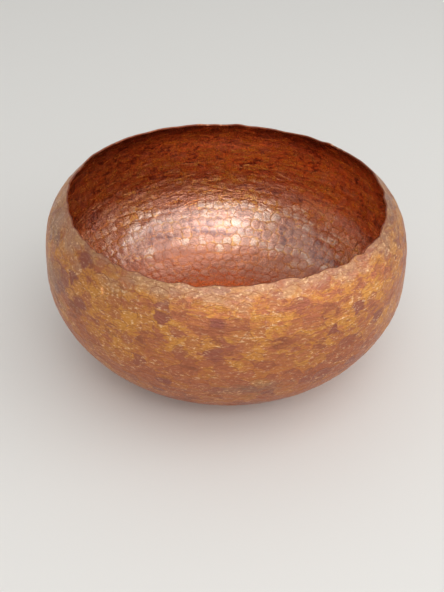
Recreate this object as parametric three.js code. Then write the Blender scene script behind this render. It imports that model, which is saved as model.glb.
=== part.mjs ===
// A round copper bowl raised by hammer from one disc of sheet, built as a three.js scene.
// Units are millimetres, +Z is up, and the origin is the middle of the flat that the bowl stands on.
//
// The whole bowl is one sheet: a flat foot, a wall that swells to a belly and then turns in
// to a narrower mouth, and a raw edge that was never trimmed level, so that it rises and falls
// a few millimetres on its way round.

import * as THREE from 'three';

// Outer shape of the bowl.
const BELLY_DIAMETER = 230;
const BELLY_HEIGHT = 66;
const MOUTH_DIAMETER = 200;
const MOUTH_HEIGHT = 113;
const FOOT_DIAMETER = 94;

// The sheet.
const SHEET = 1.2;

// How full each half of the wall is: 2 is an ellipse below the belly, and above it the wall
// stays upright for longer as the number grows.
const LOWER_FULLNESS = 1.85;
const SHOULDER_FULLNESS = 3.4;

// Waves in the height of the edge: how many go round, how far each rises and falls,
// and where its first crest stands.
const EDGE_WAVES = [
  { crests: 1, rise: 1.1, turn: 0 },
  { crests: 2, rise: 1.9, turn: -0.1 },
  { crests: 3, rise: 0.8, turn: 0.4 },
  { crests: 4, rise: 0.9, turn: 0.3 },
];

// Facets.
const FACETS_ROUND = 72;
const WALL_RINGS = 18;
const EDGE_RINGS = 3;
const RINGS_BELOW_BELLY = 0.6; // as a share of the wall's rings

const COPPER = 0xb8703f;

const bellyRadius = BELLY_DIAMETER / 2;
const mouthRadius = MOUTH_DIAMETER / 2;
const footRadius = FOOT_DIAMETER / 2;
const shoulderRise = MOUTH_HEIGHT - BELLY_HEIGHT;

// The outer radius above the belly, where share is 0 at the belly and 1 at the mouth.
function shoulderRadius(share) {
  return bellyRadius - (bellyRadius - mouthRadius) * share ** SHOULDER_FULLNESS;
}

// The outer line of the wall as (radius, height), from the edge of the foot at 0 to the mouth at 1.
class WallLine extends THREE.Curve {
  getPoint(t, target = new THREE.Vector2()) {
    if (t <= RINGS_BELOW_BELLY) {
      const angle = (t / RINGS_BELOW_BELLY) * (Math.PI / 2);
      const power = 2 / LOWER_FULLNESS;
      return target.set(
        footRadius + (bellyRadius - footRadius) * Math.sin(angle) ** power,
        BELLY_HEIGHT * (1 - Math.max(Math.cos(angle), 0) ** power),
      );
    }
    const share = (t - RINGS_BELOW_BELLY) / (1 - RINGS_BELOW_BELLY);
    return target.set(shoulderRadius(share), BELLY_HEIGHT + shoulderRise * share);
  }
}

// Points of the wall line moved into the sheet by depth, square to the line.
function wallPoints(line, depth) {
  const points = [];
  for (let ring = 0; ring <= WALL_RINGS; ring += 1) {
    const t = ring / WALL_RINGS;
    const tangent = line.getTangent(t, new THREE.Vector2());
    const inward = new THREE.Vector2(-tangent.y, tangent.x);
    points.push(line.getPoint(t).addScaledVector(inward, depth));
  }
  return points;
}

// The edge of the sheet, rounded from the outer face over to the inner one.
function edgePoints(outer, inner) {
  const middle = outer.clone().lerp(inner, 0.5);
  const across = outer.clone().sub(middle);
  const up = new THREE.Vector2(-across.y, across.x);
  const points = [];
  for (let step = 1; step < EDGE_RINGS; step += 1) {
    const angle = (step / EDGE_RINGS) * Math.PI;
    points.push(
      middle
        .clone()
        .addScaledVector(across, Math.cos(angle))
        .addScaledVector(up, Math.sin(angle)),
    );
  }
  return points;
}

// The closed section of the sheet, from the axis under the foot, round the edge, to the axis inside.
function sheetSection() {
  const line = new WallLine();
  const outer = wallPoints(line, 0);
  const inner = wallPoints(line, SHEET);
  const edge = edgePoints(outer.at(-1), inner.at(-1));
  return [
    new THREE.Vector2(0, 0),
    ...outer,
    ...edge,
    ...inner.reverse(),
    new THREE.Vector2(0, SHEET),
  ];
}

// How far the edge stands above or below the mouth height, at an angle round the bowl.
function edgeWave(angle) {
  return EDGE_WAVES.reduce(
    (sum, wave) => sum + wave.rise * Math.cos(wave.crests * (angle - wave.turn)),
    0,
  );
}

// Lets the edge wander: above the belly the wall is drawn up or let down along its own line,
// so a high stretch of the edge also reaches further in.
function letEdgeWander(geometry) {
  const position = geometry.getAttribute('position');
  const vertex = new THREE.Vector3();
  for (let i = 0; i < position.count; i += 1) {
    vertex.fromBufferAttribute(position, i);
    const share = (vertex.z - BELLY_HEIGHT) / shoulderRise;
    if (share > 0) {
      const stretch = 1 + edgeWave(Math.atan2(vertex.y, vertex.x)) / shoulderRise;
      const radius = Math.hypot(vertex.x, vertex.y);
      const moved = shoulderRadius(share * stretch) - shoulderRadius(share);
      const scale = (radius + moved) / radius;
      position.setXYZ(
        i,
        vertex.x * scale,
        vertex.y * scale,
        BELLY_HEIGHT + shoulderRise * share * stretch,
      );
    }
  }
  geometry.computeVertexNormals();
  return geometry;
}

function bowl() {
  const geometry = new THREE.LatheGeometry(sheetSection(), FACETS_ROUND);
  geometry.rotateX(Math.PI / 2);
  const copper = new THREE.MeshStandardMaterial({
    color: COPPER,
    roughness: 0.45,
    metalness: 0.9,
  });
  const mesh = new THREE.Mesh(letEdgeWander(geometry), copper);
  mesh.name = 'bowl';
  return mesh;
}

const hammeredBowl = new THREE.Group();
hammeredBowl.add(bowl());

export default hammeredBowl;
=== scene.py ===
"""A copper bowl raised by hammer from one sheet, and a plain stage to see it on.

The sheet is made as it is on the stake: each blow leaves one shallow dish, a later blow cuts into the
dishes beside it, and the ridges between them catch the light. Heat and handling colour the dishes, and
some of the colour is painted light: painted shade along the rims of the dishes, below the edge inside
and in part of the redder floor, a painted sheen along the edge outside, and painted glints in flecks.
"""

import bisect
import math
import random

import bmesh
import bpy
from bpy.props import FloatProperty, FloatVectorProperty, IntProperty, PointerProperty
from mathutils import Matrix, Vector, noise


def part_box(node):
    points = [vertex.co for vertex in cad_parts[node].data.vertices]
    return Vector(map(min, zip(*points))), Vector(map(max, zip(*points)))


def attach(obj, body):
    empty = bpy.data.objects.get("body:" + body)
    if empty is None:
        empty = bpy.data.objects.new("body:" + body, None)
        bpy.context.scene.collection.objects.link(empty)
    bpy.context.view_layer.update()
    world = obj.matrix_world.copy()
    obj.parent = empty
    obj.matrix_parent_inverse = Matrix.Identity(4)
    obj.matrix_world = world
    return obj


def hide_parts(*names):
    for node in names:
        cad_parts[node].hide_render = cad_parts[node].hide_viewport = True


bl_info = {
    "name": "Hammered Copper Bowl",
    "version": (1, 0, 0),
    "blender": (4, 5, 0),
    "location": "3D View > Sidebar > Copper Bowl",
    "description": "Raises a hammered copper bowl, and sets a plain stage for it",
    "category": "Add Mesh",
}

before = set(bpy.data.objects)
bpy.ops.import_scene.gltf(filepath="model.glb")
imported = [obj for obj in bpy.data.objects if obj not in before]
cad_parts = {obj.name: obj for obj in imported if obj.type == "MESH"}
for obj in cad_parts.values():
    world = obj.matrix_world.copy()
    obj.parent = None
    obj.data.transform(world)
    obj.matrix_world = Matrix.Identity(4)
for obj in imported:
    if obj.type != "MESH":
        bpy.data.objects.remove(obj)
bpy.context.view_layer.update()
bowl_low, bowl_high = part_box("bowl")

MM = 0.001
OUTSIDE, INSIDE, EDGE = 0, 1, 2
OVERLAP = 0.6  # half the size of a dish, as a share of the distance between blows
FIRST_BLOW, NEAREST_BLOW = 0.2, 0.1  # how far out from the axis, as shares of the distance between blows
FEWEST_IN_RING = 5
RINGS_PAST_EDGE = 3
WORKED_TOGETHER = {OUTSIDE: 2.2, INSIDE: 0.8}  # how many rings were struck in mixed order
SHORTEST_RIDGE = 0.006  # as a share of the ball on which the cells are laid out
LONGEST_RIDGE = 0.22  # the longest side left whole, as a share of the distance between blows
FINEST_TEAR = 0.009  # the longest side left at the mouth, as a share of that ball
RIM_HALVINGS = 4  # the cuts that the sides at the mouth take to be that fine
LAST_STRIP = 0.5 * MM  # the least left of a cell below the mouth
DISH_RINGS = {OUTSIDE: (0.3,), INSIDE: (0.17, 0.48)}  # how far in each ring lies from the one before
HAIR = 1e-6  # a length that counts as none
SLIVER = 0.02  # the least that a side of a cell may show of itself, as a share of the others
LIP_RISE, LIP_IN = 0.35, 0.3  # how far the edge is rounded, up and into the sheet, as shares of it


def held(value, low=0.0, high=1.0):
    """The value, kept from low to high."""
    return max(low, min(high, value))


# ---------------------------------------------------------------- settings


class BowlSizes(bpy.types.PropertyGroup):
    """The shape of the sheet."""

    belly_radius: FloatProperty(
        name="Belly radius", description="Outer radius where the bowl is widest",
        default=bowl_high.x, subtype="DISTANCE", unit="LENGTH",
    )
    belly_height: FloatProperty(
        name="Belly height", description="Height of the widest part",
        default=66 * MM, subtype="DISTANCE", unit="LENGTH",
    )
    mouth_radius: FloatProperty(
        name="Mouth radius", description="Outer radius at the edge",
        default=100 * MM, subtype="DISTANCE", unit="LENGTH",
    )
    mouth_height: FloatProperty(
        name="Mouth height", description="Mean height of the edge",
        default=113 * MM, subtype="DISTANCE", unit="LENGTH",
    )
    foot_radius: FloatProperty(
        name="Foot radius", description="Radius of the flat that the bowl stands on",
        default=47 * MM, subtype="DISTANCE", unit="LENGTH",
    )
    sheet: FloatProperty(
        name="Sheet", description="Thickness of the copper",
        default=1.2 * MM, subtype="DISTANCE", unit="LENGTH",
    )
    lower_fullness: FloatProperty(
        name="Lower fullness", description="2 is an ellipse below the belly, and less is flatter",
        default=1.85,
    )
    shoulder_fullness: FloatProperty(
        name="Shoulder fullness", description="How long the wall stays upright above the belly",
        default=3.4,
    )


class HammerSettings(bpy.types.PropertyGroup):
    """The blows, on each face of the sheet."""

    seed: IntProperty(name="Seed", description="Another seed gives another maker's hand", default=7)
    inside_pitch: FloatProperty(
        name="Inside pitch", description="From one blow to the next along a ring, inside",
        default=6.9 * MM, subtype="DISTANCE", unit="LENGTH",
    )
    inside_course: FloatProperty(
        name="Inside course", description="From one ring of blows to the next, inside",
        default=7.0 * MM, subtype="DISTANCE", unit="LENGTH",
    )
    inside_depth: FloatProperty(
        name="Inside depth", description="Depth of an ordinary dish inside",
        default=0.23 * MM, subtype="DISTANCE", unit="LENGTH",
    )
    outside_pitch: FloatProperty(
        name="Outside pitch", description="From one blow to the next along a ring, outside",
        default=10.5 * MM, subtype="DISTANCE", unit="LENGTH",
    )
    outside_course: FloatProperty(
        name="Outside course", description="From one ring of blows to the next, outside",
        default=6.7 * MM, subtype="DISTANCE", unit="LENGTH",
    )
    outside_depth: FloatProperty(
        name="Outside depth", description="Depth of an ordinary dish outside",
        default=0.20 * MM, subtype="DISTANCE", unit="LENGTH",
    )
    inside_unevenness: FloatProperty(
        name="Inside unevenness", description="How far blows stray inside, as a share of their spacing",
        default=0.18, subtype="FACTOR",
    )
    outside_unevenness: FloatProperty(
        name="Outside unevenness", description="How far blows stray outside, as a share of their spacing",
        default=0.27, subtype="FACTOR",
    )
    sway: FloatProperty(
        name="Sway", description="How far the sheet wanders from a true round",
        default=0.7 * MM, subtype="DISTANCE", unit="LENGTH",
    )
    edge_rag: FloatProperty(
        name="Edge rag", description="Height of the small nicks in the raw edge",
        default=0.45 * MM, subtype="DISTANCE", unit="LENGTH",
    )


def colour(name, description, default):
    return FloatVectorProperty(
        name=name, description=description, default=default, subtype="COLOR", size=3, min=0, max=1,
    )


class CopperColours(bpy.types.PropertyGroup):
    """The colours that heat leaves on copper, as the metal reflects them. Some of them also carry painted
    light, as noted beside them.
    """

    tan: colour("Tan", "The common colour outside", (0.54, 0.198, 0.068))
    rose: colour("Rose", "Pinker metal outside", (0.48, 0.165, 0.085))
    ochre: colour("Ochre", "Yellower metal outside", (0.585, 0.265, 0.088))
    # Gold also makes the flecks high inside, which are partly painted glints.
    gold: colour("Gold", "Straw-coloured oxide, in drifts and between dishes", (0.78, 0.37, 0.07))
    # Pale makes the flecks outside, which are partly worn metal and partly painted glints.
    pale: colour("Pale", "Rubbed metal, in flecks", (0.95, 0.62, 0.36))
    # Brown also makes the painted shadows along the upper rims of the dishes outside.
    brown: colour("Brown", "Dark oxide, in streaks and along the raw edge", (0.34, 0.115, 0.060))
    plum: colour("Plum", "The darkest heat colour, in a dish here and there", (0.3, 0.1, 0.08))
    mauve: colour("Mauve", "The film in most dishes inside", (0.61, 0.275, 0.18))
    ash: colour("Ash", "The palest film, in dishes inside", (0.8, 0.53, 0.4))
    # Blush is a redder film, darkened as painted shade on the floor below the bright band.
    blush: colour("Blush", "The redder film in the dishes on the floor of the bowl", (0.52, 0.2, 0.125))
    # Fawn along the edge outside is paler metal with a painted sheen.
    fawn: colour("Fawn", "Paler, greyer metal along the edge and low down, outside", (0.52, 0.31, 0.215))
    grey: colour("Grey", "Handled, greyed metal, in clouds outside", (0.32, 0.20, 0.14))
    olive: colour("Olive", "The greenish film, in strokes and clouds high inside", (0.6, 0.3, 0.088))
    ember: colour("Ember", "Red-orange metal, inside", (0.8, 0.3, 0.085))
    russet: colour("Russet", "The common colour inside", (0.65, 0.215, 0.08))
    # Smoke just below the edge inside is painted shade; higher up in the strokes it is dark metal.
    smoke: colour("Smoke", "The smoked metal high inside and below the edge", (0.27, 0.07, 0.034))
    # Umber also makes the painted shade line round each dish inside.
    umber: colour("Umber", "The dark line round each dish inside", (0.44, 0.135, 0.06))


class StudioSettings(bpy.types.PropertyGroup):
    """The stage, its light and its camera."""

    view_distance: FloatProperty(
        name="View distance", description="From the middle of the bowl to the camera",
        default=0.5933, subtype="DISTANCE", unit="LENGTH",
    )
    view_elevation: FloatProperty(
        name="View elevation", description="How far above the level the camera stands",
        default=math.radians(34.15), subtype="ANGLE", unit="ROTATION",
    )
    view_turn: FloatProperty(
        name="View turn", description="How far the camera looks to the left of the bowl's middle",
        default=math.radians(0.153), subtype="ANGLE", unit="ROTATION",
    )
    view_drop: FloatProperty(
        name="View drop", description="How far the camera looks below the bowl's middle",
        default=math.radians(1.81), subtype="ANGLE", unit="ROTATION",
    )
    view_roll: FloatProperty(
        name="View roll", description="How far the camera leans about its own line of sight",
        default=math.radians(2.15), subtype="ANGLE", unit="ROTATION",
    )
    lens: FloatProperty(
        name="Lens", description="Focal length, in millimetres, on a 36 mm sensor", default=54.73,
    )
    floor_colour: colour("Floor", "The pale floor", (0.80, 0.795, 0.775))
    sky_colour: colour("Room", "The pale room around the stage", (0.86, 0.85, 0.83))
    sky_strength: FloatProperty(name="Room light", description="Brightness of the room", default=0.72)
    front_power: FloatProperty(
        name="Front power", description="Power of the soft light behind the camera", default=5.0,
        subtype="POWER", unit="POWER",
    )
    window_power: FloatProperty(
        name="Window power", description="Power of the smaller, brighter light above the camera",
        default=1.5, subtype="POWER", unit="POWER",
    )
    side_power: FloatProperty(
        name="Side power", description="Power of the soft light on the right", default=3.8,
        subtype="POWER", unit="POWER",
    )
    top_power: FloatProperty(
        name="Top power", description="Power of the soft light overhead", default=3.8,
        subtype="POWER", unit="POWER",
    )


# ---------------------------------------------------------------- the section of the bowl


class Section:
    """The outer line of the sheet, from the axis under the foot, up the wall and on past the mouth.

    A place on it is its run, the length along the line from the axis.
    """

    FLOOR_STEPS = 12
    WALL_STEPS = 80
    SHOULDER_STEPS = 60
    PAST_MOUTH = 1.4  # how far the line is drawn, where 1 is at the mouth
    SLOPE_STEP = 0.2 * MM
    RAG_REACH = 5 * MM  # how far down the wall the unevenness of the raw edge is felt
    # How quickly tears, scallops and torn stretches follow each other along the edge.
    TEARS, SCALLOPS, TORN_STRETCHES = 460.0, 100.0, 22.0
    SCALLOP_DEPTH = 4.5  # against the depth of the tears
    LEAST_TORN, MORE_TORN = 0.3, 2.4
    # How many waves go round the edge, how far each rises and falls, and where its first crest stands.
    EDGE_WAVES = ((1, 1.1 * MM, 0.0), (2, 1.9 * MM, -0.1), (3, 0.8 * MM, 0.4), (4, 0.9 * MM, 0.3))

    def __init__(self, sizes, edge_rag):
        self.sizes = sizes
        self.edge_rag = edge_rag
        self.rise = sizes.mouth_height - sizes.belly_height
        line = [(sizes.foot_radius * i / self.FLOOR_STEPS, 0.0) for i in range(self.FLOOR_STEPS)]
        power = 2 / sizes.lower_fullness
        for i in range(self.WALL_STEPS):
            angle = math.pi / 2 * i / self.WALL_STEPS
            line.append((
                sizes.foot_radius + (sizes.belly_radius - sizes.foot_radius) * math.sin(angle) ** power,
                sizes.belly_height * (1 - math.cos(angle) ** power),
            ))
        for i in range(self.SHOULDER_STEPS + 1):
            line.append(self.shoulder(self.PAST_MOUTH * i / self.SHOULDER_STEPS))
        self.radii, self.heights = zip(*line)
        self.runs = [0.0]
        for (r0, z0), (r1, z1) in zip(line, line[1:]):
            self.runs.append(self.runs[-1] + math.hypot(r1 - r0, z1 - z0))
        self.belly_run = self.runs[self.FLOOR_STEPS + self.WALL_STEPS]
        self.headings = [self.heading(r, z) for r, z in line]
        self.mouth_run = self.run_at_share(1.0)

    def shoulder(self, share):
        """The line above the belly, where share is 0 at the belly and 1 at the mouth."""
        sizes = self.sizes
        narrowing = (sizes.belly_radius - sizes.mouth_radius) * share ** sizes.shoulder_fullness
        return sizes.belly_radius - narrowing, sizes.belly_height + self.rise * share

    def heading(self, radius, height):
        """The angle, up from straight down, at which the middle of the bowl sees a point of the line."""
        return math.atan2(radius, self.sizes.belly_height - height)

    def between(self, known, wanted, value):
        """Reads the value of one rising list at the place where another has the given value."""
        i = min(max(bisect.bisect_right(known, value), 1), len(known) - 1)
        part = (value - known[i - 1]) / (known[i] - known[i - 1])
        return wanted[i - 1] + (wanted[i] - wanted[i - 1]) * part

    def run_at_share(self, share):
        """The run of a place above the belly, by its share of the way up to the mouth."""
        first = self.FLOOR_STEPS + self.WALL_STEPS
        steps = share / self.PAST_MOUTH * self.SHOULDER_STEPS
        whole = min(int(steps), self.SHOULDER_STEPS - 1)
        low, high = self.runs[first + whole], self.runs[first + whole + 1]
        return low + (high - low) * (steps - whole)

    def run_at_heading(self, heading):
        return self.between(self.headings, self.runs, heading)

    def heading_at_run(self, run):
        return self.between(self.runs, self.headings, run)

    def point(self, run):
        return self.between(self.runs, self.radii, run), self.between(self.runs, self.heights, run)

    def run_of(self, place):
        """The run at which a point of the wall lay before the edge wandered."""
        radius = math.hypot(place.x, place.y)
        run = self.run_at_heading(self.heading(radius, place.z))
        if run > self.belly_run:
            stretch = 1 + self.edge_wave(math.atan2(place.y, place.x)) / self.rise
            run = self.belly_run + (run - self.belly_run) / stretch
        return run

    def edge_wave(self, turn):
        return sum(rise * math.cos(waves * (turn - crest)) for waves, rise, crest in self.EDGE_WAVES)

    def rag(self, turn):
        """How far the raw edge stands above or below its line: scallops, and tears here and there."""
        around = Vector((math.cos(turn), math.sin(turn), 0)) * self.sizes.mouth_radius
        stretches = noise.noise(around * self.TORN_STRETCHES + Vector((0, 0, 9)))
        torn = self.LEAST_TORN + self.MORE_TORN * max(0.0, stretches)
        tears = noise.noise(around * self.TEARS)
        scallops = noise.noise(around * self.SCALLOPS + Vector((3, 1, 0)))
        return self.edge_rag * (torn * tears + self.SCALLOP_DEPTH * scallops)

    def place(self, run, turn, depth):
        """The point at a run and a turn round the bowl, moved into the sheet by depth.

        Above the belly the wall is drawn up or let down along its own line, as the edge wanders.
        """
        near_edge = (run - self.mouth_run) / self.RAG_REACH + 1
        if run > self.belly_run:
            stretch = 1 + self.edge_wave(turn) / self.rise
            run = self.belly_run + (run - self.belly_run) * stretch
        if near_edge > 0:
            run += self.rag(turn) * near_edge ** 2
        r0, z0 = self.point(max(run - self.SLOPE_STEP, 0.0))
        r1, z1 = self.point(run + self.SLOPE_STEP)
        length = math.hypot(r1 - r0, z1 - z0)
        radius, height = self.point(run)
        radius -= (z1 - z0) / length * depth
        height += (r1 - r0) / length * depth
        return Vector((radius * math.cos(turn), radius * math.sin(turn), height))


# ---------------------------------------------------------------- the blows


class Blow:
    """One hammer blow: where it fell, how long, wide and deep its dish is, and when it was struck."""

    NEAREST = 0.2  # a point nearer the middle than this is taken to be this far out

    def __init__(self, section, under, run, turn, length, width, depth, order, tones):
        self.heading = section.heading_at_run(run)
        self.turn = turn
        self.centre = section.place(run, turn, under)
        self.along = Vector((-math.sin(turn), math.cos(turn), 0))
        self.up = (section.place(run + width, turn, under) - self.centre).normalized()
        self.length = length
        self.width = width
        self.depth = depth
        self.order = order
        self.tones = tones

    def reach(self, point):
        """How far out in the dish a point lies: 0 at its middle and 1 on its rim."""
        arm = point - self.centre
        along = arm.dot(self.along)
        across = (arm - self.along * along).length
        return math.hypot(along / self.length, across / self.width)

    def side(self, point):
        """How far up the wall from the dish's middle a point lies: 0 is its lower rim and 1 its upper."""
        return 0.5 + 0.5 * held((point - self.centre).dot(self.up) / self.width, -1.0)

    def on_rim(self, point):
        """The place on the dish's rim that is the same way out from its middle as the point."""
        return self.centre + (point - self.centre) / max(self.reach(point), self.NEAREST)


def ring_of_blows(section, ring, run, pitch, course, unevenness, rng):
    """The runs and turns of the blows on one ring, as even as a hand keeps them."""
    if ring == 0:
        return [(FIRST_BLOW * pitch, 0.0)]
    radius, _ = section.point(run)
    count = max(FEWEST_IN_RING, round(2 * math.pi * radius / pitch))
    start = rng.random() * 2 * math.pi
    places = []
    for i in range(count):
        turn = start + 2 * math.pi * (i + rng.uniform(-unevenness, unevenness)) / count
        places.append((run + rng.uniform(-unevenness, unevenness) * course, turn))
    return places


def strike(section, face, pitch, course, depth, unevenness, rng):
    """All the blows on one face of the sheet, from the middle of the floor to past the edge.

    The rings were struck from the edge down, so a dish mostly keeps its whole upper rim.
    One ring falls on the edge itself, so that the edge cuts its dishes in half.
    """
    blows = []
    whole_rings = round(section.mouth_run / course)
    course = section.mouth_run / whole_rings
    under = section.sizes.sheet if face == INSIDE else 0.0
    for ring in range(whole_rings + RINGS_PAST_EDGE):
        ring_tone = rng.random()
        for run, turn in ring_of_blows(section, ring, ring * course, pitch, course, unevenness, rng):
            size = rng.uniform(1 - unevenness, 1 + unevenness)
            order = rng.random() * WORKED_TOGETHER[face] - ring
            blows.append(Blow(
                section, under, max(run, NEAREST_BLOW * pitch), turn,
                OVERLAP * size * pitch, OVERLAP * size * course,
                depth * weight_of_blow(section, face, run, rng), order,
                (rng.random(), ring_tone, rng.random()),
            ))
    return blows


def weight_of_blow(section, face, run, rng):
    """How hard a blow fell. Inside, they were lighter up the wall; outside, few were hard."""
    if face == OUTSIDE:
        lightest, harder = 0.3, 1.5
        return lightest + harder * rng.random() ** 3
    eased_from, eased_over = 0.8 * section.belly_run, 0.35 * section.belly_run
    return rng.uniform(0.7, 1.3) * (1 - 0.15 * held((run - eased_from) / eased_over))


def direction(heading, turn):
    """The way out from the middle of the bowl at a heading and a turn."""
    return Vector((
        math.sin(heading) * math.cos(turn),
        math.sin(heading) * math.sin(turn),
        -math.cos(heading),
    ))


def cells_around(blows):
    """A ball whose faces are the cells nearest each blow, each face holding its blow's number."""
    hull = bmesh.new()
    for blow in blows:
        hull.verts.new(direction(blow.heading, blow.turn))
    hull.verts.new((0, 0, 1))
    hull.verts.ensure_lookup_table()
    number = {vert: i for i, vert in enumerate(hull.verts)}
    bmesh.ops.convex_hull(hull, input=hull.verts)
    bmesh.ops.triangulate(hull, faces=hull.faces)
    bmesh.ops.recalc_face_normals(hull, faces=hull.faces)
    turn_hollow_edges(hull)

    cells = bmesh.new()
    blow_layer = cells.faces.layers.int.new("blow")
    corners = {}
    for facet in hull.faces:
        outward = facet.normal if facet.normal.dot(facet.calc_center_median()) > 0 else -facet.normal
        corners[facet] = cells.verts.new(outward)
    for vert, i in number.items():
        if i == len(blows) or not vert.link_faces:
            continue
        out = vert.co.normalized()
        east = out.orthogonal().normalized()
        north = out.cross(east)

        def bearing(facet):
            arm = facet.calc_center_median() - vert.co
            return math.atan2(arm.dot(north), arm.dot(east))

        around = sorted(vert.link_faces, key=bearing)
        if len(around) > 2:
            cell = cells.faces.new([corners[facet] for facet in around])
            cell[blow_layer] = i
    hull.free()
    bmesh.ops.remove_doubles(cells, verts=cells.verts, dist=SHORTEST_RIDGE)
    return cells, blow_layer


def turn_hollow_edges(hull, passes=4):
    """Turns every edge of a triangulated hull that lies in a hollow, so that the hull is truly convex."""
    for _ in range(passes):
        hull.normal_update()
        hollow = []
        for edge in hull.edges:
            here, there = edge.link_faces
            far = next(vert for vert in there.verts if vert not in edge.verts)
            if here.normal.dot(far.co - edge.verts[0].co) > HAIR:
                hollow.append(edge)
        for edge in hollow:
            if edge.is_valid:
                bmesh.utils.edge_rotate(edge)
    hull.normal_update()


def trim_at_mouth(cells, section, pitch):
    """Cuts the cells off level at the mouth, and gives each cell enough corners to be round."""
    mouth = section.heading_at_run(section.mouth_run)
    bmesh.ops.bisect_plane(
        cells, geom=[*cells.verts, *cells.edges, *cells.faces], dist=HAIR,
        plane_co=(0, 0, -math.cos(mouth)), plane_no=(0, 0, 1), clear_outer=True,
    )
    bmesh.ops.delete(cells, geom=[v for v in cells.verts if not v.link_faces], context="VERTS")
    longest = LONGEST_RIDGE * pitch / section.sizes.belly_radius
    split = [e for e in cells.edges if e.calc_length() > longest or e.is_boundary]
    bmesh.ops.bisect_edges(cells, edges=split, cuts=1)
    for _ in range(RIM_HALVINGS):
        rim = [e for e in cells.edges if e.is_boundary and e.calc_length() > FINEST_TEAR]
        bmesh.ops.bisect_edges(cells, edges=rim, cuts=1)


def lay_on_wall(cells, section, under):
    """Moves the ball of cells onto the wall of the bowl."""
    for vert in cells.verts:
        turn = math.atan2(vert.co.y, vert.co.x)
        if vert.is_boundary:
            run = section.mouth_run
        else:
            heading = math.acos(held(-vert.co.normalized().z, -1.0))
            run = min(section.run_at_heading(heading), section.mouth_run - LAST_STRIP)
        vert.co = section.place(run, turn, under)


def round_the_cells(cells, blow_layer, blows, strength=0.85, furthest=0.4):
    """Where cells meet, the one struck last keeps the round rim of its dish.

    A corner moves no further than a share of the dish's width, and a cell that this would fold
    keeps its straight sides.
    """
    cells.normal_update()
    outward = {face: face.normal.copy() for face in cells.faces}
    straight = {}
    for vert in cells.verts:
        owners = {face[blow_layer] for face in vert.link_faces}
        if not vert.is_boundary and len(owners) > 1:
            last = max((blows[i] for i in owners), key=lambda blow: blow.order)
            shift = (last.on_rim(vert.co) - vert.co) * strength
            straight[vert] = vert.co.copy()
            vert.co += shift * min(1.0, furthest * last.width / max(shift.length, 1e-9))
    folded = True
    while folded:
        folded = {
            vert for face in cells.faces if is_folded(face, outward[face])
            for vert in face.verts if vert in straight
        }
        for vert in folded:
            vert.co = straight.pop(vert)


def is_folded(face, outward):
    """Whether some side of a cell, seen from its middle, turns back or is all but hidden."""
    middle = face.calc_center_median_weighted()
    arms = [vert.co - middle for vert in face.verts]
    areas = [a.cross(b).dot(outward) for a, b in zip(arms, arms[1:] + arms[:1])]
    return min(areas) < SLIVER * sum(areas) / len(areas)


def dish_the_cells(cells, rings):
    """Gives each cell its rings and a middle, each vertex holding how far out in its cell it lies."""
    out = cells.verts.layers.float.new("out")
    for vert in cells.verts:
        vert[out] = 1.0
    whole = list(cells.faces)
    reached = 1.0
    for inwards in rings:
        reached *= 1 - inwards
        bmesh.ops.inset_individual(cells, faces=whole, thickness=HAIR, depth=0)
        for face in whole:
            middle = face.calc_center_median_weighted()
            for vert in face.verts:
                vert.co = vert.co.lerp(middle, inwards)
                vert[out] = reached
    for vert in bmesh.ops.poke(cells, faces=whole, center_mode="MEAN_WEIGHTED")["verts"]:
        vert[out] = 0.0
    return out


def tint_the_cells(cells, blow_layer, out, blows, section):
    """Notes the tones of each dish, and where in its dish and on the sheet each corner lies."""
    tones = cells.loops.layers.float_color.new("blow_tones")
    place = cells.loops.layers.float_color.new("blow_place")
    edge_run = section.mouth_run
    for face in cells.faces:
        blow = blows[face[blow_layer]]
        for loop in face.loops:
            there = loop.vert.co
            height = 1.0 if loop.vert.is_boundary else min(1.0, section.run_of(there) / edge_run)
            loop[tones] = (*blow.tones, 1.0)
            loop[place] = (loop.vert[out], blow.side(there), height, 1.0)


def sink_and_sway(cells, blow_layer, out, blows, section, hammer, into_sheet):
    """Sinks each dish into the sheet, and lets the whole sheet wander a little from true."""
    cells.normal_update()
    places = {}
    for vert in cells.verts:
        blow = blows[vert.link_faces[0][blow_layer]]
        reach = min(blow.reach(vert.co), 1.0)
        sunk = blow.depth * (1 - reach * reach) if vert[out] < 1 else 0.0
        normal = vert.normal.copy()
        places[vert] = vert.co + normal * (sunk * into_sheet + sway_of_sheet(vert.co, section, hammer))
    for vert, place in places.items():
        vert.co = place
        vert.co.z = max(place.z, 0.0)


def sway_of_sheet(place, section, hammer):
    """How far the sheet stands out from true at a place: nothing at the foot, and most at the edge."""
    stiff_height = 6 * MM
    flutter_height = 0.8 * section.sizes.mouth_height
    lift = held((place.z - stiff_height) / section.sizes.belly_height)
    near_edge = max(0.0, (place.z - flutter_height) / (0.2 * section.sizes.mouth_height))
    slow = noise.noise(place * 24.0)
    middling = noise.noise(place * 62.0 + Vector((5, 1, 3)))
    flutter = noise.noise(place * 95.0 + Vector((2, 7, 4)))
    return hammer.sway * (lift * (0.9 * slow + 0.45 * middling) + 0.7 * near_edge * flutter)


def make_skin(section, hammer, face, rng):
    """One face of the sheet, hammered all over and open at the mouth."""
    inside = face == INSIDE
    side = "inside" if inside else "outside"
    pitch, course, depth, unevenness = (
        getattr(hammer, f"{side}_{setting}") for setting in ("pitch", "course", "depth", "unevenness")
    )
    blows = strike(section, face, pitch, course, depth, unevenness, rng)
    cells, blow_layer = cells_around(blows)
    trim_at_mouth(cells, section, pitch)
    lay_on_wall(cells, section, section.sizes.sheet if inside else 0.0)
    round_the_cells(cells, blow_layer, blows)
    out = dish_the_cells(cells, DISH_RINGS[face])
    tint_the_cells(cells, blow_layer, out, blows, section)
    sink_and_sway(cells, blow_layer, out, blows, section, hammer, 1.0 if inside else -1.0)
    for cell in cells.faces:
        cell.material_index = face
        cell.smooth = True
    if inside:
        bmesh.ops.reverse_faces(cells, faces=cells.faces)
    return cells


# ---------------------------------------------------------------- the raw edge


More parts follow.
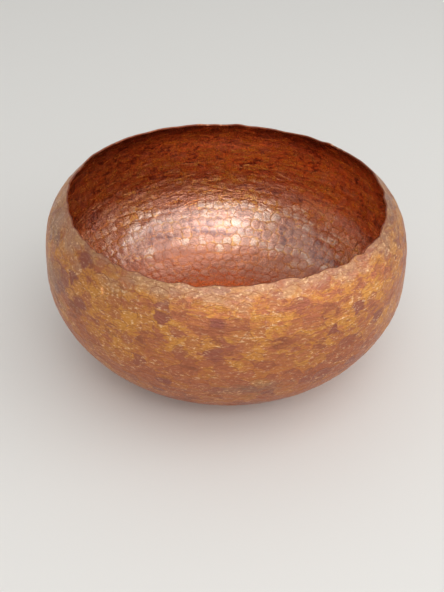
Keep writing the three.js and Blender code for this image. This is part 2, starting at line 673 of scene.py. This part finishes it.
def turn_of(vert):
    """The turn round the bowl at which a vertex lies."""
    return math.atan2(vert.co.y, vert.co.x)


def in_order(verts):
    """The vertices of an open edge, followed from neighbour to neighbour with the turn rising."""
    here = min(verts, key=turn_of)
    order = [here]
    ends = [e.other_vert(here) for e in here.link_edges if e.is_boundary]
    ahead = min(ends, key=turn_of)
    while ahead is not order[0]:
        order.append(ahead)
        ends = [e.other_vert(ahead) for e in ahead.link_edges if e.is_boundary]
        here, ahead = ahead, (ends[0] if ends[1] is here else ends[1])
    return order


def edge_loop(bowl, side, section):
    """Rounds one side of the raw edge over, and returns its new vertices in order round the bowl."""
    sheet = section.sizes.sheet
    edges = [e for e in bowl.edges if e.is_boundary and e.link_faces[0].material_index == side]
    grown = bmesh.ops.extrude_edge_only(bowl, edges=edges)["geom"]
    verts = [g for g in grown if isinstance(g, bmesh.types.BMVert)]
    for face in (g for g in grown if isinstance(g, bmesh.types.BMFace)):
        face.material_index = EDGE
        face.smooth = True
    mouth = section.mouth_run
    lip = mouth + LIP_RISE * sheet
    into = LIP_IN * sheet
    under, lip_under = (sheet, sheet - into) if side == INSIDE else (0.0, into)
    for vert in verts:
        turn = turn_of(vert)
        vert.co += section.place(lip, turn, lip_under) - section.place(mouth, turn, under)
    return in_order(verts)


def close_edge(bowl, outer, inner):
    """Zips the two sides of the raw edge together, a triangle at a time, in step round the bowl."""
    i = j = 0
    full = 2 * math.pi

    def ahead(loop, k):
        return turn_of(loop[k % len(loop)]) + full * (k // len(loop))

    while i < len(outer) or j < len(inner):
        here_outer, here_inner = outer[i % len(outer)], inner[j % len(inner)]
        if j >= len(inner) or (i < len(outer) and ahead(outer, i + 1) <= ahead(inner, j + 1)):
            i += 1
            corners = (here_outer, outer[i % len(outer)], here_inner)
        else:
            j += 1
            corners = (here_outer, inner[j % len(inner)], here_inner)
        face = bowl.faces.new(corners)
        face.material_index = EDGE
        face.smooth = True


# ---------------------------------------------------------------- finishes


# Each pattern's squash, scale, detail, roughness and distortion: clouds, drifts, patches, streaks,
# flecks and grain, from the largest to the smallest.
OUTSIDE_PATTERNS = (
    (2.1, 15.0, 3.0, 0.5, 0.3),
    (2.1, 38.0, 5.0, 0.6, 0.6),
    (2.1, 145.0, 6.0, 0.70, 0.7),
    (6.0, 80.0, 6.0, 0.68, 0.5),
    (2.1, 430.0, 4.0, 0.65, 0.4),
    (1.0, 1300.0, 2.0, 0.5, 0.0),
)
INSIDE_PATTERNS = (
    (1.8, 17.0, 3.0, 0.5, 0.3),
    (1.8, 42.0, 5.0, 0.6, 0.6),
    (1.8, 120.0, 6.0, 0.66, 0.7),
    (2.8, 62.0, 6.0, 0.68, 1.2),
    (1.0, 420.0, 4.0, 0.62, 0.0),
    (1.0, 1300.0, 2.0, 0.5, 0.0),
)


class Finish:
    """The nodes of one material, added and joined by name."""

    def __init__(self, name):
        self.material = bpy.data.materials.new(name)
        self.material.use_nodes = True
        self.tree = self.material.node_tree
        self.shader = self.tree.nodes["Principled BSDF"]

    def add(self, kind, settings=None, inputs=None):
        node = self.tree.nodes.new(kind)
        for key, value in (settings or {}).items():
            setattr(node, key, value)
        for key, value in (inputs or {}).items():
            self.set(node.inputs[key], value)
        return node

    def set(self, socket, value):
        if isinstance(value, bpy.types.NodeSocket):
            self.tree.links.new(value, socket)
        elif socket.type == "RGBA":
            socket.default_value = (*value, 1.0)
        else:
            socket.default_value = value

    def give(self, values):
        """Sets the shader's own sockets."""
        for name, value in values.items():
            self.set(self.shader.inputs[name], value)

    def noise(self, squash, scale, detail, roughness=0.5, distortion=0.0):
        """A pattern on the piece's own coordinates, with heights counted squash times over."""
        coordinates = self.add("ShaderNodeTexCoord").outputs["Object"]
        squashed = self.add("ShaderNodeMapping", {}, {"Vector": coordinates, "Scale": (1, 1, squash)})
        return self.add("ShaderNodeTexNoise", {}, {
            "Vector": squashed.outputs["Vector"], "Scale": scale, "Detail": detail,
            "Roughness": roughness, "Distortion": distortion,
        }).outputs["Fac"]

    def math(self, operation, a, b=0.0, c=0.0):
        return self.add("ShaderNodeMath", {"operation": operation}, {0: a, 1: b, 2: c}).outputs[0]

    def times(self, a, b):
        return self.math("MULTIPLY", a, b)

    def sum(self, *terms):
        """Adds values, each counted so many times over."""
        total = 0.0
        for value, share in terms:
            total = self.math("MULTIPLY_ADD", value, share, total)
        return total

    def between(self, value, low, high, to_low=0.0, to_high=1.0):
        """Spreads the stretch from low to high over a new one, and holds it at its ends."""
        return self.add("ShaderNodeMapRange", {"interpolation_type": "SMOOTHSTEP"}, {
            "Value": value, "From Min": low, "From Max": high, "To Min": to_low, "To Max": to_high,
        }).outputs[0]

    def mix(self, factor, a, b):
        node = self.add("ShaderNodeMix", {"data_type": "RGBA"})
        for socket, value in ((0, factor), (6, a), (7, b)):
            self.set(node.inputs[socket], value)
        return node.outputs[2]

    def ramp(self, factor, *stops):
        node = self.add("ShaderNodeValToRGB", {}, {"Fac": factor})
        elements = node.color_ramp.elements
        while len(elements) < len(stops):
            elements.new(0.5)
        for element, (position, shade) in zip(elements, stops):
            element.position = position
            element.color = (*shade, 1.0)
        return node.outputs["Color"]

    def bump(self, height, strength, distance, under=None):
        inputs = {"Height": height, "Strength": strength, "Distance": distance}
        if under:
            inputs["Normal"] = under
        return self.add("ShaderNodeBump", {}, inputs).outputs["Normal"]


class HammeredFinish(Finish):
    """The finish of one face of the sheet: what the mesh notes of each dish, and the patterns over it."""

    RAGGEDNESS = 1.6
    FADE = 0.15

    def __init__(self, name, patterns):
        super().__init__(name)
        self.tone, self.ring, self.chance = self.three("blow_tones")
        self.out, self.side, self.height = self.three("blow_place")
        self.cloud, self.drift, self.patch, self.streak, self.fleck, self.grain = (
            self.noise(*pattern) for pattern in patterns
        )

    def three(self, layer):
        """The three values that the mesh holds in a layer."""
        node = self.add("ShaderNodeVertexColor", {"layer_name": layer})
        split = self.add("ShaderNodeSeparateColor", {}, {"Color": node.outputs["Color"]})
        return tuple(split.outputs[i] for i in range(3))

    def core(self, rag, reach):
        """1 in the middle of a dish and 0 on its rim, with a ragged change at about the given reach."""
        middle = reach + 0.5 * self.RAGGEDNESS
        ragged = self.sum((self.out, 1.0), (rag, self.RAGGEDNESS))
        return self.between(ragged, middle + self.FADE, middle - self.FADE)

    def rim(self, low, high, most):
        """The rims of the dishes, broken up by flecks: the mask of the painted shade lines along them."""
        return self.between(self.sum((self.out, 1.0), (self.fleck, 0.5)), low, high, 0.0, most)

    def polish(self, base, smoothest, roughest, wrinkles, flecks, grain):
        """Gives the metal its colour, its gloss from patch to patch, and three sizes of unevenness.

        Each of the three is a strength and a depth.
        """
        worn = self.sum((self.patch, 0.7), (self.grain, 0.3))
        normal = None
        for height, uneven in ((self.streak, wrinkles), (self.fleck, flecks), (self.grain, grain)):
            normal = self.bump(height, *uneven, normal)
        gloss = self.between(worn, 0.38, 0.62, smoothest, roughest)
        self.give({"Base Color": base, "Metallic": 1.0, "Roughness": gloss, "Normal": normal})


def sunned_metal(finish, colours):
    """The outside's own colours, from brown to ochre, with gold in drifts that gather below the edge."""
    base = finish.ramp(
        finish.sum((finish.patch, 0.55), (finish.tone, 0.16), (finish.drift, 0.29)),
        (0.38, colours.brown), (0.46, colours.rose), (0.54, colours.tan), (0.64, colours.ochre),
    )
    high = finish.between(finish.height, 0.55, 0.86)
    golden = finish.sum((finish.drift, 0.8), (finish.streak, 0.5), (finish.patch, 0.7), (high, 0.40))
    return finish.mix(finish.between(golden, 1.31, 1.45, 0.0, 0.52), base, colours.gold)


def stained_dishes(finish, colours, base):
    """Rose in many dishes outside and plum in a few, with brown streaks across them."""
    middle = finish.core(finish.patch, 0.85)
    many = finish.between(finish.chance, 0.35, 0.7, 0.0, 0.6)
    base = finish.mix(finish.times(middle, many), base, colours.rose)
    few = finish.between(finish.chance, 0.84, 0.97, 0.0, 0.75)
    base = finish.mix(finish.times(middle, few), base, colours.plum)
    streaks = finish.between(finish.sum((finish.streak, 0.6), (finish.patch, 0.5)), 0.58, 0.70, 0.0, 0.55)
    return finish.mix(streaks, base, colours.brown)


def handled_metal_and_sheen(finish, colours, base):
    """Grey clouds outside, and fawn along the edge and low down. Along the edge the fawn is paler metal
    with a painted sheen.
    """
    greyed = finish.between(finish.sum((finish.cloud, 1.0), (finish.patch, 0.35)), 0.76, 0.92, 0.0, 0.65)
    base = finish.mix(greyed, base, colours.grey)
    # Painted sheen: a fawn band along the edge, partly paler metal and partly the sheen of light on it.
    pale_edge_and_sheen = finish.between(finish.sum((finish.height, 1.0), (finish.drift, 0.40)), 1.13, 1.22, 0.0, 0.6)
    base = finish.mix(pale_edge_and_sheen, base, colours.fawn)
    low = finish.between(finish.height, 0.36, 0.24)
    paling_mask = finish.between(finish.noise(6.0, 60.0, 3.0), 0.38, 0.58, 0.1, 0.85)
    return finish.mix(finish.times(low, paling_mask), base, colours.fawn)


def outside_marks(finish, colours, base):
    """Painted shadows in dark brown along the upper rims of the dishes outside, pale flecks that are
    partly painted glints, and dark flecks.
    """
    # Painted shade: a dark brown line along the upper rim of each dish, where a lip would shade it.
    painted_arc_shadows = finish.times(finish.rim(1.08, 1.20, 0.7), finish.between(finish.side, 0.60, 0.80))
    base = finish.mix(painted_arc_shadows, base, colours.brown)
    # Painted glints: pale flecks, partly worn metal and partly glints of light.
    paling_mask = finish.between(finish.drift, 0.42, 0.6, 0.25, 0.85)
    base = finish.mix(finish.times(finish.between(finish.fleck, 0.54, 0.68), paling_mask), base, colours.pale)
    return finish.mix(finish.between(finish.fleck, 0.47, 0.36, 0.0, 0.45), base, colours.brown)


def outside_finish(colours):
    """Satin, sun-coloured copper: tan and rose with gold drifts, a plum dish here and there, and painted
    shadows, sheen and glints.
    """
    finish = HammeredFinish("copper_outside", OUTSIDE_PATTERNS)
    base = sunned_metal(finish, colours)
    for layer in (stained_dishes, handled_metal_and_sheen, outside_marks):
        base = layer(finish, colours, base)
    finish.polish(
        base, smoothest=0.30, roughest=0.48,
        wrinkles=(0.7, 1.0 * MM), flecks=(0.9, 0.4 * MM), grain=(0.3, 0.15 * MM),
    )
    return finish.material


def fired_metal(finish, colours):
    """The upper inside, from smoke to gold in strokes."""
    return finish.ramp(
        finish.sum((finish.patch, 0.5), (finish.streak, 0.5)),
        (0.43, colours.smoke), (0.46, colours.russet), (0.50, colours.ember),
        (0.53, colours.olive), (0.56, colours.gold),
    )


def filmed_dishes_and_floor_shade(finish, colours, rag):
    """The lower inside: a film in each dish, bare metal between the dishes and between their rings, and a
    redder floor, darkened as painted shade.
    """
    # Painted shade: the floor turns redder and darker, sharply, where the bright band above it ends.
    floor_tint_and_shade = finish.between(
        finish.sum((finish.height, 1.0), (finish.drift, 0.3)), 0.635, 0.595, 0.0, 0.9,
    )
    bare = finish.ramp(
        finish.sum((finish.drift, 0.5), (finish.fleck, 0.5)),
        (0.42, colours.umber), (0.46, colours.russet), (0.50, colours.ember), (0.55, colours.gold),
    )
    bare = finish.mix(floor_tint_and_shade, bare, colours.russet)
    film = finish.ramp(
        finish.sum((finish.drift, 0.45), (finish.ring, 0.12), (finish.tone, 0.08), (finish.patch, 0.35)),
        (0.38, colours.plum), (0.45, colours.mauve), (0.51, colours.mauve), (0.57, colours.ash),
    )
    film = finish.mix(floor_tint_and_shade, film, colours.blush)
    film = finish.mix(finish.between(finish.height, 0.36, 0.24, 0.0, 0.8), film, colours.mauve)
    kept = finish.between(
        finish.sum((finish.patch, 0.6), (finish.ring, 0.12), (finish.chance, 0.10)),
        0.535, 0.475, 0.1, 1.0,
    )
    off_row = finish.math("ABSOLUTE", finish.math("SUBTRACT", finish.side, 0.5))
    on_row = finish.between(
        finish.sum((off_row, 1.0), (rag, 0.9), (finish.ring, 0.10)), 0.84, 1.02, 1.0, 0.15,
    )
    return finish.mix(finish.times(finish.core(rag, 0.90), finish.times(kept, on_row)), bare, film)


def inside_marks(finish, colours, base, rag, high):
    """Painted shade lines round the dishes inside; higher up mauve dishes, olive clouds, gold flecks that
    are partly painted glints, and painted shade below the edge.
    """
    # Painted shade: an umber line round each dish, heaviest on its upper rim.
    upper_rim_shade = finish.between(finish.side, 0.40, 0.65, 0.45, 1.0)
    base = finish.mix(finish.times(finish.rim(1.09, 1.18, 0.9), upper_rim_shade), base, colours.umber)
    some = finish.between(finish.sum((finish.chance, 0.5), (finish.drift, 1.0)), 0.80, 1.0, 0.0, 0.6)
    spots = finish.times(finish.core(rag, 0.85), some)
    base = finish.mix(finish.times(spots, high), base, colours.mauve)
    olive = finish.between(finish.sum((finish.cloud, 1.0), (finish.patch, 0.5)), 0.84, 0.98, 0.0, 0.6)
    base = finish.mix(finish.times(olive, high), base, colours.olive)
    # Gold flecks high up, partly painted glints of light on the relief.
    flecks = finish.between(finish.fleck, 0.54, 0.62, 0.0, 0.8)
    base = finish.mix(finish.times(flecks, high), base, colours.gold)
    # Painted shade: the metal darkens towards smoke just below the edge.
    dimmed = finish.between(finish.sum((finish.height, 1.0), (finish.drift, 0.30)), 1.06, 1.15, 0.0, 0.85)
    return finish.mix(dimmed, base, colours.smoke)


def oil(finish):
    """A film of oil, thick round the middle heights, thin on the floor and near the edge."""
    from_floor = finish.between(finish.height, 0.44, 0.50, 0.2, 1.0)
    to_edge = finish.between(finish.height, 0.60, 0.74, 1.0, 0.15)
    film = finish.math("MINIMUM", from_floor, to_edge)
    finish.give({"Coat Weight": film, "Coat Roughness": 0.16, "Coat IOR": 2.0})


def inside_finish(colours):
    """Oiled copper: russet, ember and olive high up, pale mauve dishes below, redder ones on the floor,
    and painted shade and glints.
    """
    finish = HammeredFinish("copper_inside", INSIDE_PATTERNS)
    rag = finish.sum((finish.patch, 0.5), (finish.fleck, 0.5))
    high = finish.between(finish.sum((finish.height, 1.0), (finish.drift, 0.5)), 0.88, 1.03)
    base = finish.mix(high, filmed_dishes_and_floor_shade(finish, colours, rag), fired_metal(finish, colours))
    base = inside_marks(finish, colours, base, rag, high)
    finish.polish(
        base, smoothest=0.14, roughest=0.28,
        wrinkles=(0.8, 1.2 * MM), flecks=(0.5, 0.3 * MM), grain=(0.25, 0.12 * MM),
    )
    oil(finish)
    return finish.material


def edge_finish(colours):
    """The raw edge: darkened by heat, worn bright along its top."""
    finish = Finish("copper_edge")
    patch = finish.noise(1.0, 260.0, 4.0, 0.6)
    base = finish.ramp(
        patch, (0.35, colours.plum), (0.5, colours.brown), (0.62, colours.rose), (0.75, colours.pale),
    )
    gloss = finish.between(patch, 0.3, 0.7, 0.5, 0.35)
    uneven = finish.bump(patch, 0.4, 0.3 * MM)
    finish.give({"Base Color": base, "Metallic": 1.0, "Roughness": gloss, "Normal": uneven})
    return finish.material


# ---------------------------------------------------------------- operators


class COPPERBOWL_OT_raise_bowl(bpy.types.Operator):
    """Raise the bowl: hammer both faces of the sheet and close its raw edge"""

    bl_idname = "copperbowl.raise_bowl"
    bl_label = "Raise Bowl"

    def execute(self, context):
        scene = context.scene
        hammer = scene.bowl_hammer
        section = Section(scene.bowl_sizes, hammer.edge_rag)
        rng = random.Random(hammer.seed)
        mesh = bpy.data.meshes.new("hammered_bowl")
        bowl = bmesh.new()
        for face in (OUTSIDE, INSIDE):
            skin = make_skin(section, hammer, face, rng)
            skin.to_mesh(mesh)
            skin.free()
            bowl.from_mesh(mesh)
        outer = edge_loop(bowl, OUTSIDE, section)
        inner = edge_loop(bowl, INSIDE, section)
        close_edge(bowl, outer, inner)
        open_edges = sum(1 for edge in bowl.edges if not edge.is_manifold)
        if open_edges:
            raise RuntimeError(f"the sheet has {open_edges} open edges")
        bowl.to_mesh(mesh)
        bowl.free()
        for make in (outside_finish, inside_finish, edge_finish):
            mesh.materials.append(make(scene.bowl_colours))
        piece = bpy.data.objects.new("hammered_bowl", mesh)
        scene.collection.objects.link(piece)
        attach(piece, "root")
        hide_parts("bowl")
        return {"FINISHED"}


class COPPERBOWL_OT_set_stage(bpy.types.Operator):
    """Set the stage: a pale floor, a pale room, soft lights round the bowl, and the camera"""

    bl_idname = "copperbowl.set_stage"
    bl_label = "Set Stage"

    FLOOR_SIZE = 8.0
    FLOOR_DROP = 0.02 * MM  # keeps the floor clear of the foot
    # Each light's name, its width and height, and where it hangs.
    LIGHTS = (
        ("front", (2.2, 0.80), (0.42, -1.10, 0.80)),
        ("window", (0.80, 0.26), (0.10, -0.88, 1.04)),
        ("side", (1.0, 0.8), (1.35, -0.15, 0.55)),
        ("top", (2.0, 0.8), (0.28, -0.38, 1.38)),
    )
    LIT_HEIGHT = 60 * MM  # the height on the bowl's axis that the lights face

    def execute(self, context):
        scene = context.scene
        studio = scene.bowl_studio
        self.lay_floor(scene, studio)
        self.light_room(scene, studio)
        self.place_camera(scene, studio)
        return {"FINISHED"}

    def lay_floor(self, scene, studio):
        sheet = bmesh.new()
        bmesh.ops.create_grid(sheet, x_segments=1, y_segments=1, size=self.FLOOR_SIZE / 2)
        mesh = bpy.data.meshes.new("floor")
        sheet.to_mesh(mesh)
        sheet.free()
        paper = Finish("floor_paper")
        paper.give({"Base Color": studio.floor_colour, "Roughness": 0.6})
        mesh.materials.append(paper.material)
        floor = bpy.data.objects.new("floor", mesh)
        floor.location.z = -self.FLOOR_DROP
        scene.collection.objects.link(floor)

    def light_room(self, scene, studio):
        world = bpy.data.worlds.new("pale_room")
        world.use_nodes = True
        background = world.node_tree.nodes["Background"]
        background.inputs["Color"].default_value = (*studio.sky_colour, 1.0)
        background.inputs["Strength"].default_value = studio.sky_strength
        scene.world = world
        for name, size, place in self.LIGHTS:
            self.hang_light(scene, f"{name}_light", getattr(studio, f"{name}_power"), size, place)
        scene.view_settings.view_transform = "Standard"

    def hang_light(self, scene, name, power, size, place):
        """Hangs a soft rectangular light that faces the bowl."""
        light = bpy.data.lights.new(name, "AREA")
        light.shape = "RECTANGLE"
        light.size, light.size_y = size
        light.energy = power
        lamp = bpy.data.objects.new(name, light)
        lamp.location = place
        aim = Vector((0, 0, self.LIT_HEIGHT)) - lamp.location
        lamp.rotation_euler = aim.to_track_quat("-Z", "Y").to_euler()
        scene.collection.objects.link(lamp)

    def place_camera(self, scene, studio):
        lens = bpy.data.cameras.new("camera")
        lens.lens = studio.lens
        camera = bpy.data.objects.new("camera", lens)
        middle = Vector((0, 0, 0.5 * scene.bowl_sizes.mouth_height))
        back = Vector((0, -math.cos(studio.view_elevation), math.sin(studio.view_elevation)))
        camera.matrix_world = (
            Matrix.Translation(middle + back * studio.view_distance)
            @ Matrix.Rotation(math.pi / 2 - studio.view_elevation, 4, "X")
            @ Matrix.Rotation(studio.view_turn, 4, "Y")
            @ Matrix.Rotation(-studio.view_drop, 4, "X")
            @ Matrix.Rotation(studio.view_roll, 4, "Z")
        )
        scene.collection.objects.link(camera)
        scene.camera = camera


class COPPERBOWL_PT_panel(bpy.types.Panel):
    """The bowl's sizes, its blows and its colours, and the buttons that make it"""

    bl_idname = "COPPERBOWL_PT_panel"
    bl_label = "Copper Bowl"
    bl_space_type = "VIEW_3D"
    bl_region_type = "UI"
    bl_category = "Copper Bowl"

    def draw(self, context):
        layout = self.layout
        for group in ("bowl_sizes", "bowl_hammer", "bowl_colours", "bowl_studio"):
            settings = getattr(context.scene, group)
            box = layout.box()
            for name in settings.__annotations__:
                box.prop(settings, name)
        layout.operator(COPPERBOWL_OT_raise_bowl.bl_idname)
        layout.operator(COPPERBOWL_OT_set_stage.bl_idname)


GROUPS = {
    "bowl_sizes": BowlSizes,
    "bowl_hammer": HammerSettings,
    "bowl_colours": CopperColours,
    "bowl_studio": StudioSettings,
}
OTHERS = (COPPERBOWL_OT_raise_bowl, COPPERBOWL_OT_set_stage, COPPERBOWL_PT_panel)


def register():
    for name, group in GROUPS.items():
        bpy.utils.register_class(group)
        setattr(bpy.types.Scene, name, PointerProperty(type=group))
    for cls in OTHERS:
        bpy.utils.register_class(cls)


def unregister():
    for cls in reversed(OTHERS):
        bpy.utils.unregister_class(cls)
    for name, group in reversed(GROUPS.items()):
        delattr(bpy.types.Scene, name)
        bpy.utils.unregister_class(group)


def main():
    register()
    bpy.ops.copperbowl.set_stage()
    bpy.ops.copperbowl.raise_bowl()


if __name__ == "__main__":
    main()
